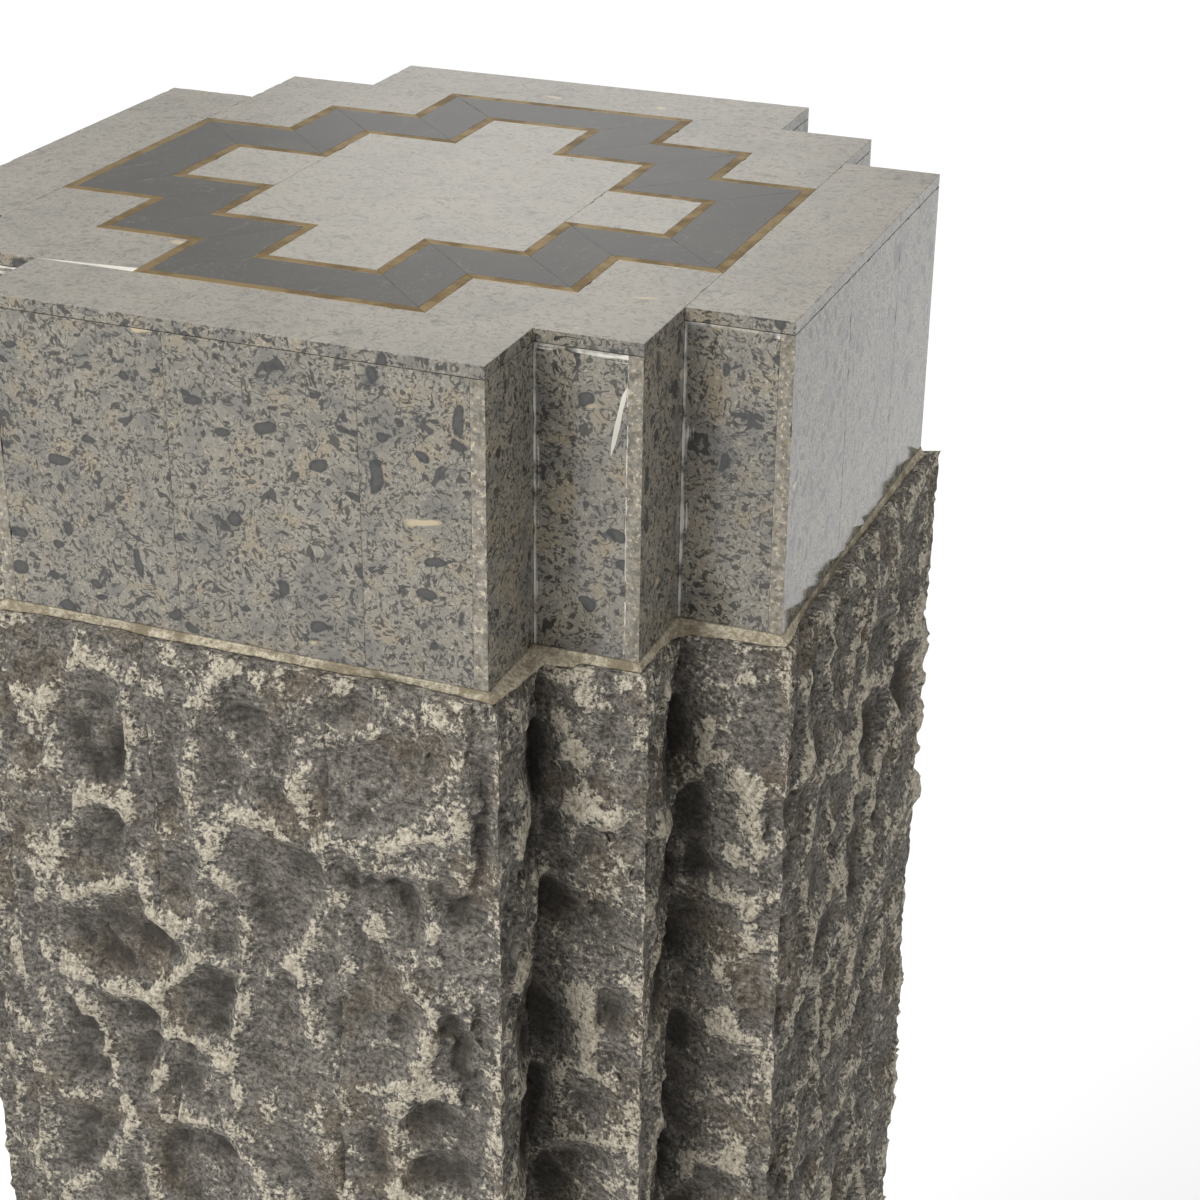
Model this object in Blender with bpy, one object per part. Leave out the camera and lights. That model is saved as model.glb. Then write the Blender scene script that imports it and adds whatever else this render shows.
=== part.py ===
"""Stone pedestal with stepped corners: a polished cap with an inlaid top, on a shaft of split-face slabs.

Metres, +Z up. The origin is the centre of the underside, and the front is -Y.
The same stepped plan runs from top to bottom: a square whose corners are notched back in two equal steps.
"""
import math

import bpy
import numpy as np

# Overall sizes
HEIGHT = 0.914
CAP_WIDTH = 0.305
CAP_HEIGHT = 0.102
PLINTH_HEIGHT = 0.080
NOTCH_STEP = 0.0344        # depth of each of the two steps in a corner

# Top inlay
TILE_THICKNESS = 0.0040
BORDER_WIDTH = 0.0344      # stone between the cap's edge and the outer brass strip
BAND_WIDTH = 0.0304        # dark stone with a brass strip on each side
BRASS_WIDTH = 0.0036

# Beds of mortar over and under the shaft
BED_THICKNESS = 0.003
BED_LIP = 0.0034           # how far the mortar is squeezed out past the cap
BED_RAGGED = 0.0022        # how much that lip wanders
BED_SPACING = 0.014        # distance between the points of a ragged edge

# Split-face slabs round the shaft
SHAFT_PROUD = 0.011        # highest ridges stand this far outside the cap
SLAB_THICKNESS = 0.028     # from the highest ridges to the back
STRIPS_PER_SIDE = 3
SCOOP_SIZE = 0.034         # width of one scooped hollow
SCOOP_STRETCH = 1.3        # a hollow's height over its width
SCOOP_DEPTH = 0.0058
BROAD_SIZE = 0.085         # width of the broad hollows that the others lie in
BROAD_DEPTH = 0.0036
WANDER = 0.0055            # how far the hollows are pushed out of their rows
VALLEY_DEPTH = 0.0070      # how far a slab falls back at an inner corner
VALLEY_WIDTH = 0.012
ARRIS_DEPTH = 0.0060       # how far the straight arris at an outer corner lies behind the highest ridges
ARRIS_WIDTH = 0.010        # width over which the split face rises from that arris
LEDGE_DEPTH = 0.0036       # largest difference between neighbouring ledges of one slab
LEDGE_SPACING = 0.120
TOP_DEPTH = 0.0060         # a slab's top edge lies about this far behind the highest ridges
TOP_EASE = 0.035           # height over which the hollows fade out towards a slab's top
GRID_ACROSS = 0.018        # spacing of the points across a slab
GRID_UP = 0.026            # spacing of the points up a slab

GAP = 0.0003               # clearance between pieces that touch
END_CLEARANCE = GAP / math.sqrt(2)

CAP_HALF = CAP_WIDTH / 2
CAP_BOTTOM = HEIGHT - CAP_HEIGHT
TILE_BOTTOM = HEIGHT - TILE_THICKNESS
SHAFT_BOTTOM = PLINTH_HEIGHT + BED_THICKNESS + GAP
SHAFT_TOP = CAP_BOTTOM - BED_THICKNESS - GAP


def material(name, colour, roughness, metallic=0.0):
    made = bpy.data.materials.new(name)
    made.use_nodes = True
    shader = made.node_tree.nodes["Principled BSDF"]
    shader.inputs["Base Color"].default_value = (*colour, 1.0)
    shader.inputs["Roughness"].default_value = roughness
    shader.inputs["Metallic"].default_value = metallic
    made.diffuse_color = (*colour, 1.0)
    return made


def add_object(name, verts, faces, finish):
    mesh = bpy.data.meshes.new(name)
    mesh.from_pydata([tuple(v) for v in verts], [], faces)
    mesh.materials.append(finish)
    made = bpy.data.objects.new(name, mesh)
    bpy.context.scene.collection.objects.link(made)
    return made


def turned(point, quarter):
    """A plan point turned about the middle by so many quarter turns."""
    x, y = point
    for _ in range(quarter):
        x, y = -y, x
    return x, y


def stepped(half, step=NOTCH_STEP):
    """The plan's twenty corners, anticlockwise from the right face's far end."""
    middle = half - step
    short = half - 2 * step
    corner = [(half, short), (middle, short), (middle, middle), (short, middle), (short, half)]
    return [turned(point, quarter) for quarter in range(4) for point in corner]


def straightened(points):
    """The same outline without points that lie on a straight side."""
    kept = []
    for i, (x, y) in enumerate(points):
        (x0, y0), (x1, y1) = points[i - 1], points[(i + 1) % len(points)]
        if abs((x - x0) * (y1 - y) - (y - y0) * (x1 - x)) > 1e-9:
            kept.append((x, y))
    return kept


def inset(points, distance):
    """An anticlockwise outline with every side moved inwards by the distance."""
    count = len(points)
    sides = []
    for i in range(count):
        (x0, y0), (x1, y1) = points[i], points[(i + 1) % count]
        length = math.hypot(x1 - x0, y1 - y0)
        dx, dy = (x1 - x0) / length, (y1 - y0) / length
        sides.append((x0 - dy * distance, y0 + dx * distance, dx, dy))
    moved = []
    for i in range(count):
        ax, ay, adx, ady = sides[i - 1]
        bx, by, bdx, bdy = sides[i]
        cross = adx * bdy - ady * bdx
        along = ((bx - ax) * bdy - (by - ay) * bdx) / cross
        moved.append((ax + adx * along, ay + ady * along))
    return moved


def prism(name, outline, bottom, top, finish):
    """A closed solid between two heights, from an anticlockwise outline."""
    count = len(outline)
    verts = [(x, y, z) for z in (bottom, top) for x, y in outline]
    faces = [tuple(reversed(range(count))), tuple(range(count, 2 * count))]
    for i in range(count):
        after = (i + 1) % count
        faces.append((i, after, count + after, count + i))
    return add_object(name, verts, faces, finish)


def ring(name, outer, inner, bottom, top, finish):
    """A closed frame between two outlines with matching corners."""
    count = len(outer)
    verts = [(x, y, z) for z in (bottom, top) for outline in (outer, inner) for x, y in outline]
    low_out, low_in, high_out, high_in = (i * count for i in range(4))
    faces = []
    for i in range(count):
        after = (i + 1) % count
        faces.append((low_out + i, low_out + after, high_out + after, high_out + i))
        faces.append((low_in + after, low_in + i, high_in + i, high_in + after))
        faces.append((high_out + i, high_out + after, high_in + after, high_in + i))
        faces.append((low_out + after, low_out + i, low_in + i, low_in + after))
    return add_object(name, verts, faces, finish)


def chance(column, row, seed):
    """A repeatable number from 0 to 1 for each whole column and row."""
    mixed = np.sin(column * 127.1 + row * 311.7 + seed * 74.7) * 43758.5453
    return mixed - np.floor(mixed)


def scoops(across, up, size, seed):
    """Rounded hollows that meet in ridges: 0 on a ridge, up to 1 at the bottom of a hollow."""
    x, y = across / size, up / (size * SCOOP_STRETCH)
    column, row = np.floor(x), np.floor(y)
    nearest = np.full(np.shape(x), 9.0)
    second = np.full(np.shape(x), 9.0)
    depth = np.zeros(np.shape(x))
    for side in (-1, 0, 1):
        for rise in (-1, 0, 1):
            c, r = column + side, row + rise
            dx = c + 0.1 + 0.8 * chance(c, r, seed) - x
            dy = r + 0.1 + 0.8 * chance(c, r, seed + 1) - y
            distance = np.hypot(dx, dy)
            closer = distance < nearest
            second = np.where(closer, nearest, np.minimum(second, distance))
            depth = np.where(closer, 0.35 + 0.65 * chance(c, r, seed + 2), depth)
            nearest = np.where(closer, distance, nearest)
    inside = 1 - (nearest / second) ** 2
    return depth * inside * inside * (3 - 2 * inside)


def bent(across, up):
    """The place pushed about by some millimetres, so that no hollow is regular."""
    bent_across = across + WANDER * np.sin(1.8 * up / SCOOP_SIZE + 2.1 * np.sin(1.25 * across / SCOOP_SIZE))
    bent_up = up + WANDER * np.sin(2.0 * across / SCOOP_SIZE + 1.7 * np.sin(1.1 * up / SCOOP_SIZE))
    return bent_across, bent_up


def ledges(up, slab):
    """Depth of a slab's ledges, from 0 to 1, with a short slope from each to the next."""
    place = up / LEDGE_SPACING + chance(slab, 0, 116)
    row = np.floor(place)
    slope = np.clip((place - row) / 0.07, 0, 1)
    below, here = chance(slab, row - 1, 245), chance(slab, row, 245)
    return below + (here - below) * slope


def relief(across, up, slab, to_inner, to_outer):
    """How far the stone is split back behind the highest ridges, in metres."""
    x, y = bent(across, up)
    hollows = SCOOP_DEPTH * scoops(x, y, SCOOP_SIZE, 11) + BROAD_DEPTH * scoops(x, y, BROAD_SIZE, 31)
    valley = VALLEY_DEPTH * np.exp(-(to_inner / VALLEY_WIDTH) ** 2)
    split = hollows + valley + LEDGE_DEPTH * ledges(up, slab)
    eased = 0.4 + 0.6 * np.clip((SHAFT_TOP - up) / TOP_EASE, 0, 1)
    depth = TOP_DEPTH + (split - TOP_DEPTH) * eased
    arris = np.exp(-(to_outer / ARRIS_WIDTH) ** 2)
    return depth + (ARRIS_DEPTH - depth) * arris


def slab_places():
    """Name, start, end, end kinds, distance round the plan and number of each slab.

    A kind is 1 at an outer corner, -1 at an inner corner and 0 at a straight joint.
    The distance starts again at the left side, so that the splits run on round the other corners.
    """
    corners = stepped(CAP_HALF + SHAFT_PROUD)
    kinds = [1, -1, 1, -1, 1] * 4
    sides = ["right", "back", "left", "front"]
    places, round_plan = [], 0.0
    for quarter in range(4):
        if quarter == 2:
            round_plan -= 8 * (CAP_HALF + SHAFT_PROUD)
        for part in range(5):
            i = quarter * 5 + part
            start, end = corners[i - 1], corners[i]
            kind0, kind1 = kinds[i - 1], kinds[i]
            length = math.dist(start, end)
            if part == 0:
                for strip in range(STRIPS_PER_SIDE):
                    share0, share1 = strip / STRIPS_PER_SIDE, (strip + 1) / STRIPS_PER_SIDE
                    p0 = [a + (b - a) * share0 for a, b in zip(start, end)]
                    p1 = [a + (b - a) * share1 for a, b in zip(start, end)]
                    k0 = kind0 if strip == 0 else 0
                    k1 = kind1 if strip == STRIPS_PER_SIDE - 1 else 0
                    places.append((f"shaft_slab_{sides[quarter]}_{strip + 1}", p0, p1, k0, k1,
                                   round_plan + length * share0, len(places)))
            else:
                places.append((f"shaft_slab_corner_{quarter + 1}_{part}", start, end, kind0, kind1,
                               round_plan, len(places)))
            round_plan += length
    return places


def add_slab(name, start, end, kind0, kind1, round_plan, number, finish):
    """A slab with a split face, mitred where it meets the next one at a corner."""
    start, end = np.array(start), np.array(end)
    length = np.linalg.norm(end - start)
    along = (end - start) / length
    outwards = np.array((along[1], -along[0]))
    columns = max(2, round(length / GRID_ACROSS))
    rows = max(2, round((SHAFT_TOP - SHAFT_BOTTOM) / GRID_UP))

    def point(share, depth, z):
        first = kind0 * depth + END_CLEARANCE
        last = length - kind1 * depth - END_CLEARANCE
        place = start + along * (first + (last - first) * share) - outwards * depth
        return (*place, z)

    shares = np.linspace(0, 1, columns + 1)
    heights = np.linspace(SHAFT_BOTTOM, SHAFT_TOP, rows + 1)
    across, up = np.meshgrid(shares, heights)
    from_start, from_end = across * length, (1 - across) * length
    to_inner = np.minimum(from_start + 9 * (kind0 >= 0), from_end + 9 * (kind1 >= 0))
    to_outer = np.minimum(from_start + 9 * (kind0 <= 0), from_end + 9 * (kind1 <= 0))
    depths = relief(round_plan + across * length, up, number, to_inner, to_outer)
    verts = [point(s, d, z) for s, d, z in zip(across.flat, depths.flat, up.flat)]
    back = len(verts)
    low, high = heights[0], heights[-1]
    verts += [point(s, SLAB_THICKNESS, z) for s, z in ((0, low), (1, low), (1, high), (0, high))]

    wide = columns + 1
    faces = []
    for row in range(rows):
        for column in range(columns):
            i = row * wide + column
            faces.append((i, i + 1, i + wide + 1, i + wide))
    bottom_row = list(range(wide))
    top_row = [rows * wide + column for column in range(wide)]
    first_column = [row * wide for row in range(rows + 1)]
    last_column = [row * wide + columns for row in range(rows + 1)]
    faces.append((back + 1, *reversed(bottom_row), back))
    faces.append((*top_row, back + 2, back + 3))
    faces.append((*first_column, back + 3, back))
    faces.append((*reversed(last_column), back + 1, back + 2))
    faces.append((back, back + 3, back + 2, back + 1))
    return add_object(name, verts, faces, finish)


def add_bed(name, bottom, finish, seed):
    """A thin bed of mortar whose ragged edge is squeezed out past the polished stone."""
    corners = stepped(CAP_HALF + BED_LIP)
    edge = []
    for i, start in enumerate(corners):
        end = corners[(i + 1) % len(corners)]
        length = math.dist(start, end)
        pieces = max(1, round(length / BED_SPACING))
        outwards = ((end[1] - start[1]) / length, (start[0] - end[0]) / length)
        for piece in range(pieces):
            share = piece / pieces
            wander = BED_RAGGED * (float(chance(i, piece, seed)) - 0.5) if piece else 0.0
            edge.append((start[0] + (end[0] - start[0]) * share + outwards[0] * wander,
                         start[1] + (end[1] - start[1]) * share + outwards[1] * wander))
    return prism(name, edge, bottom + GAP, bottom + BED_THICKNESS, finish)


def add_cap(finish):
    """The cap under its top tiles."""
    return prism("cap_block", stepped(CAP_HALF), CAP_BOTTOM, TILE_BOTTOM - GAP, finish)


def add_top_tiles(light, dark, brass):
    """The flush top: light border, dark band between two brass strips, light field."""
    names = ["right", "back", "left", "front"]
    half, middle, short = CAP_HALF, CAP_HALF - NOTCH_STEP, CAP_HALF - 2 * NOTCH_STEP
    out = CAP_HALF - BORDER_WIDTH
    out_middle, out_short = out - NOTCH_STEP, out - 2 * NOTCH_STEP
    strip = [(out, -out_short), (middle, -short), (half, -short),
             (half, short), (middle, short), (out, out_short)]
    corner = [(out, out_short), (middle, short), (middle, middle), (short, middle), (out_short, out),
              (out_short, out_middle), (out_middle, out_middle), (out_middle, out_short)]

    def tile(name, outline, finish):
        return prism(name, inset(straightened(outline), GAP / 2), TILE_BOTTOM, HEIGHT, finish)

    for quarter in range(4):
        tile(f"top_border_{names[quarter]}", [turned(p, quarter) for p in strip], light)
        tile(f"top_border_corner_{quarter + 1}", [turned(p, quarter) for p in corner], light)

    inner = out - BAND_WIDTH
    edges = {"brass_strip_outer": (out, out - BRASS_WIDTH),
             "brass_strip_inner": (inner + BRASS_WIDTH, inner)}
    for name, (outside, inside) in edges.items():
        outline = inset(stepped(outside), GAP / 2)
        hole = inset(stepped(inside), -GAP / 2)
        ring(name, outline, hole, TILE_BOTTOM, HEIGHT, brass)

    band_out = stepped(out - BRASS_WIDTH)
    band_in = stepped(inner + BRASS_WIDTH)
    for quarter in range(4):
        first = quarter * 5
        run = [band_out[first - 1], band_out[first], band_in[first], band_in[first - 1]]
        tile(f"dark_band_{names[quarter]}", run, dark)
        turn = [band_out[first + i] for i in range(5)] + [band_in[first + i] for i in reversed(range(5))]
        tile(f"dark_band_corner_{quarter + 1}", turn, dark)

    inner_middle, inner_short = inner - NOTCH_STEP, inner - 2 * NOTCH_STEP
    arm = [(inner_middle, -inner_short), (inner, -inner_short),
           (inner, inner_short), (inner_middle, inner_short)]
    tile("field_right", arm, light)
    tile("field_left", [turned(p, 2) for p in arm], light)
    field = [p for p in stepped(inner) if abs(p[0]) < inner - NOTCH_STEP / 2]
    tile("field_middle", field, light)


for old in list(bpy.data.objects):
    bpy.data.objects.remove(old, do_unlink=True)

POLISHED = material("polished shell limestone", (0.262, 0.250, 0.225), 0.12)
DARK = material("polished dark limestone", (0.090, 0.088, 0.082), 0.18)
BRASS = material("brass", (0.392, 0.250, 0.093), 0.30, 1.0)
ROUGH = material("split-face limestone", (0.105, 0.093, 0.078), 0.90)
MORTAR = material("mortar", (0.480, 0.420, 0.310), 0.95)

prism("plinth", stepped(CAP_HALF), 0.0, PLINTH_HEIGHT, POLISHED)
add_bed("mortar_bed_lower", PLINTH_HEIGHT, MORTAR, 31)
for place in slab_places():
    add_slab(*place, ROUGH)
add_bed("mortar_bed_upper", SHAFT_TOP, MORTAR, 32)
add_cap(POLISHED)
add_top_tiles(POLISHED, DARK, BRASS)
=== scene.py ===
import math

import bpy
import numpy as np
from mathutils import Matrix, Vector


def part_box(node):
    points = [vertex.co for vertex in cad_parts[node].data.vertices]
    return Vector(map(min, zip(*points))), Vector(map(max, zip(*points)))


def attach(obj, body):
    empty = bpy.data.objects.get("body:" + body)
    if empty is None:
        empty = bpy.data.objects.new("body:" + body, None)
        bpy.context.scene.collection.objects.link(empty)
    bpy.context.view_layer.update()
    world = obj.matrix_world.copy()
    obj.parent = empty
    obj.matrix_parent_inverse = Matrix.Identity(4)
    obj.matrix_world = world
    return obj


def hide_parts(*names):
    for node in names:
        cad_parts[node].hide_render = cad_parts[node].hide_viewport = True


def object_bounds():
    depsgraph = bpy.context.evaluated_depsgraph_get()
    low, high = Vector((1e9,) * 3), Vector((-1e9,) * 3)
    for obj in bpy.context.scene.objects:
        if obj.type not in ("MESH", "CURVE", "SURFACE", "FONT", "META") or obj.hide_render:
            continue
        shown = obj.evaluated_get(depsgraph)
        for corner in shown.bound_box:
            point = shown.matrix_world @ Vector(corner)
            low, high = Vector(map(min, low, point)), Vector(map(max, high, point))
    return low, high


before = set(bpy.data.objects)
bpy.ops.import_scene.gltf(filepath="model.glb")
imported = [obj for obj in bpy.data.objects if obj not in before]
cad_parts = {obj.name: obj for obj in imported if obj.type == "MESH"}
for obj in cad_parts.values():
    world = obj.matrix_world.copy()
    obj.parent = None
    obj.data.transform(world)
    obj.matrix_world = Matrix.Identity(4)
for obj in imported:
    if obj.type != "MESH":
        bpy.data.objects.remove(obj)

cad_low, cad_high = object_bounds()


# Plinth and cap: light blocks of one stepped plan, each faced with thin tiles of polished shell limestone.
# The tiles are sawn, glued on with tight butt joints and polished together, so their edges are crisp with a
# few nicks. The blocks themselves only show through the joints, as the filler behind them.
JOINT = 0.00006
SIDE_TILE = 0.0046
SIDE_WEAR = 0.00008
SIDE_NICK = 0.0005
NICKED_SHARE = 0.06
OUTLINE_SPACING = 0.003
# Stands for a distance that doesn't count, larger than any in the pedestal
FAR = 9.0
block_low, block_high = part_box("cap_block")
plinth_low, plinth_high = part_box("plinth")
arm_low, arm_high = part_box("field_right")
GAP = 0.0003
CAP_HALF = block_high.x
NOTCH_STEP = arm_high.x - arm_low.x + GAP
SIDES = ["right", "back", "left", "front"]
# Where the joints of each main face lie, as shares of its width
TILE_JOINTS = {"right": (0.36, 0.70), "back": (0.30, 0.66), "left": (0.42, 0.72), "front": (0.383, 0.760)}


def linear(code):
    """The linear colour of an sRGB hex value."""
    parts = [int(code[i:i + 2], 16) / 255 for i in (1, 3, 5)]
    return (*[c / 12.92 if c <= 0.04045 else ((c + 0.055) / 1.055) ** 2.4 for c in parts], 1.0)


def add_node(tree, kind, inputs=(), **settings):
    """Adds a node with its settings, and fills its inputs with values or links them to sockets."""
    made = tree.nodes.new("ShaderNode" + kind)
    for name, value in settings.items():
        setattr(made, name, value)
    for key, value in dict(inputs).items():
        if isinstance(value, bpy.types.NodeSocket):
            tree.links.new(value, made.inputs[key])
        else:
            made.inputs[key].default_value = value
    return made


def new_material(name):
    """A material with its node tree and shader."""
    made = bpy.data.materials.new(name)
    made.use_nodes = True
    return made, made.node_tree, made.node_tree.nodes["Principled BSDF"]


def own_place(tree):
    """Object coordinates, shifted for each piece so that no pattern runs on over a joint."""
    place = add_node(tree, "TexCoord").outputs["Object"]
    own = add_node(tree, "ObjectInfo").outputs["Random"]
    shift = add_node(tree, "VectorMath", {0: own, 1: (0.37, 0.61, 0.83)}, operation="MULTIPLY").outputs[0]
    return add_node(tree, "VectorMath", {0: place, 1: shift}, operation="ADD").outputs[0]


def polished_limestone(name, light, bold):
    """Grey limestone packed with broken shells, polished to a near mirror.

    The eye gets a taupe ground with pale grains, dark specks, flakes, rings and thin curved shell edges,
    beige smudges, a few cream splinters, and white scratches along the inner corners. Lighter, less bold
    copies with few large shells carry painted sheen: the polished top seen at a grazing angle.
    """
    made, tree, shader = new_material(name)
    place = own_place(tree)
    warp = add_node(tree, "TexNoise", {"Vector": place, "Scale": 1000 / 13, "Detail": 2.0}).outputs["Color"]
    centred = add_node(tree, "VectorMath", {0: warp, 1: (0.5, 0.5, 0.5)}, operation="SUBTRACT").outputs[0]
    push = add_node(tree, "VectorMath", {0: centred, "Scale": 0.009}, operation="SCALE").outputs[0]
    bent = add_node(tree, "VectorMath", {0: place, 1: push}, operation="ADD").outputs[0]

    # Ground: patches about 30 mm wide, clusters of 10 mm, then grains of 1 mm
    patches = add_node(tree, "TexNoise", {"Vector": place, "Scale": 1000 / 30, "Detail": 1.0}).outputs["Fac"]
    clusters = add_node(tree, "TexNoise", {"Vector": bent, "Scale": 1000 / 10, "Detail": 2.0}).outputs["Fac"]
    fine = {"Vector": place, "Scale": 1000 / 1.1, "Detail": 3.0, "Roughness": 0.7}
    grains = add_node(tree, "TexNoise", fine).outputs["Fac"]
    ground = {0: patches, 6: linear("#67635a"), 7: linear("#857f73")}
    colour = add_node(tree, "Mix", ground, data_type="RGBA").outputs[2]
    # The light share pales the stone: for the top tiles this is painted sheen of the grazing top
    colour = add_node(tree, "Mix", {0: light, 6: colour, 7: linear("#aeaaa0")}, data_type="RGBA").outputs[2]

    # Beige clusters, pale grains and grey clusters: the noise, where it starts and is full, strength, colour
    tones = [(clusters, 0.54, 0.68, 0.50, "#85785f"),
             (grains, 0.53, 0.66, 0.45, "#b1ab9e"),
             (clusters, 0.48, 0.34, 0.60, "#5c5b58")]
    # Broken shell: irregular dark specks and flakes, by size in mm and the noise value that they lie under
    for size, under, tone in ((1.4, 0.42, "#35332f"), (2.6, 0.385, "#2a2926"), (6.0, 0.355, "#262728")):
        ragged = {"Vector": bent, "Scale": 1000 / size, "Detail": 2.0, "Distortion": 0.5}
        flakes = add_node(tree, "TexNoise", ragged).outputs["Fac"]
        tones.append((flakes, under, under - 0.03, 0.85, tone))
    # Curved shell edges: thin dark lines where a noise passes its middle value
    for size, width, strength, tone in ((10.0, 0.009, 0.75, "#33322f"), (4.2, 0.016, 0.55, "#3a3834")):
        flowing = {"Vector": bent, "Scale": 1000 / size, "Detail": 1.0, "Distortion": 0.7}
        flow = add_node(tree, "TexNoise", flowing).outputs["Fac"]
        apart = add_node(tree, "Math", {0: flow, 1: 0.5}, operation="SUBTRACT").outputs[0]
        apart = add_node(tree, "Math", {0: apart}, operation="ABSOLUTE").outputs[0]
        tones.append((apart, width, width / 3, strength, tone))
    for noise, start, full, strength, tone in tones:
        fade = {"Value": noise, "From Min": start, "From Max": full, "To Max": strength * bold}
        shown = add_node(tree, "MapRange", fade, interpolation_type="SMOOTHSTEP").outputs[0]
        colour = add_node(tree, "Mix", {0: shown, 6: colour, 7: linear(tone)}, data_type="RGBA").outputs[2]

    # Fossils: kind, spacing in mm, stretch, share of cells left bare, radius in cells, strength, colour
    fossils = (("seed", 2.6, (0.75, 1.0, 1.25), 0.45, 0.25, 0.80 * bold, "#2f2e2b"),
               ("ring", 4.4, (0.65, 1.0, 1.20), 0.40, 0.25, 0.85 * bold, "#31312e"),
               ("shell", 8.0, (0.60, 1.1, 1.05), 0.52, 0.23, 0.9 * bold ** 2, "#1f2021"),
               ("shell", 11.0, (1.2, 0.8, 0.60), 0.66, 0.21, 0.9 * bold ** 2, "#222425"),
               ("splinter", 15.0, (0.36, 1.0, 1.50), 0.80, 0.13, 0.85, "#ab9d80"))
    for kind, spacing, stretch, bare, radius, strength, tone in fossils:
        spread = add_node(tree, "VectorMath", {0: bent, 1: stretch}, operation="MULTIPLY").outputs[0]
        cells = add_node(tree, "TexVoronoi", {"Vector": spread, "Scale": 1000 / spacing, "Randomness": 1.0})
        lot = add_node(tree, "SeparateColor", {0: cells.outputs["Color"]})
        there = add_node(tree, "Math", {0: lot.outputs[0], 1: bare}, operation="GREATER_THAN").outputs[0]
        sizes = {"Value": lot.outputs[1], "To Min": radius * 0.5, "To Max": radius * 1.35}
        reach = add_node(tree, "MapRange", sizes).outputs[0]
        from_middle = cells.outputs["Distance"]
        beyond = add_node(tree, "Math", {0: from_middle, 1: reach}, operation="SUBTRACT").outputs[0]
        fade = {"Value": beyond, "From Min": 0.03, "From Max": -0.03, "To Max": strength}
        if kind == "ring":
            from_rim = add_node(tree, "Math", {0: beyond}, operation="ABSOLUTE").outputs[0]
            fade = {"Value": from_rim, "From Min": 0.07, "From Max": 0.0, "To Max": strength}
        inside = add_node(tree, "MapRange", fade, interpolation_type="SMOOTHSTEP").outputs[0]
        shown = add_node(tree, "Math", {0: inside, 1: there}, operation="MULTIPLY").outputs[0]
        colour = add_node(tree, "Mix", {0: shown, 6: colour, 7: linear(tone)}, data_type="RGBA").outputs[2]
        if kind == "shell":
            # A large shell is a little paler and grainy inside its dark rim
            fade = {"Value": beyond, "From Min": -0.03, "From Max": -0.13}
            heart = add_node(tree, "MapRange", fade).outputs[0]
            heart = add_node(tree, "Math", {0: heart, 1: shown}, operation="MULTIPLY").outputs[0]
            heart = add_node(tree, "Math", {0: heart, 1: grains}, operation="MULTIPLY").outputs[0]
            paler = {0: heart, 6: colour, 7: linear("#4b4a47")}
            colour = add_node(tree, "Mix", paler, data_type="RGBA").outputs[2]

    # White residue: a line in each inner corner, and scratches beside it and under the top arris
    blots = add_node(tree, "TexNoise", {"Vector": place, "Scale": 1000 / 9, "Detail": 3.0}).outputs["Fac"]
    marks = []
    for edge, along, solid in (("from_corner", (1.0, 1.0, 0.04), 1.0), ("from_top", (0.06, 0.06, 1.0), 0.3)):
        away = add_node(tree, "Attribute", attribute_name=edge).outputs["Fac"]
        drag = add_node(tree, "VectorMath", {0: place, 1: along}, operation="MULTIPLY").outputs[0]
        drawn = {"Vector": drag, "Scale": 1000 / 0.8, "Detail": 1.0}
        streaks = add_node(tree, "TexNoise", drawn).outputs["Fac"]
        fade = {"Value": away, "From Max": 0.008, "To Min": 0.35, "To Max": -0.1}
        near = add_node(tree, "MapRange", fade).outputs[0]
        scratch = add_node(tree, "Math", {0: streaks, 1: blots, 2: near}, operation="MULTIPLY_ADD").outputs[0]
        fade = {"Value": scratch, "From Min": 0.54, "From Max": 0.66, "To Max": 0.8}
        scratch = add_node(tree, "MapRange", fade).outputs[0]
        fade = {"Value": away, "From Min": 0.0011, "From Max": 0.0004, "To Max": solid}
        line = add_node(tree, "MapRange", fade).outputs[0]
        fade = {"Value": blots, "From Min": 0.36, "From Max": 0.52, "To Min": 0.1}
        kept = add_node(tree, "MapRange", fade).outputs[0]
        line = add_node(tree, "Math", {0: line, 1: kept}, operation="MULTIPLY").outputs[0]
        marks.append(add_node(tree, "Math", {0: scratch, 1: line}, operation="MAXIMUM").outputs[0])
    dust = add_node(tree, "Math", {0: marks[0], 1: marks[1]}, operation="MAXIMUM").outputs[0]
    colour = add_node(tree, "Mix", {0: dust, 6: colour, 7: linear("#d2cfc7")}, data_type="RGBA").outputs[2]
    tree.links.new(colour, shader.inputs["Base Color"])

    gloss = add_node(tree, "MapRange", {"Value": patches, "To Min": 0.07, "To Max": 0.15}).outputs[0]
    gloss = add_node(tree, "Mix", {0: dust, 2: gloss, 3: 0.6}, data_type="FLOAT").outputs[0]
    tree.links.new(gloss, shader.inputs["Roughness"])
    shader.inputs["IOR"].default_value = 1.5
    bump = add_node(tree, "Bump", {"Height": grains, "Strength": 0.06, "Distance": 0.0002})
    tree.links.new(bump.outputs[0], shader.inputs["Normal"])
    return made


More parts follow.
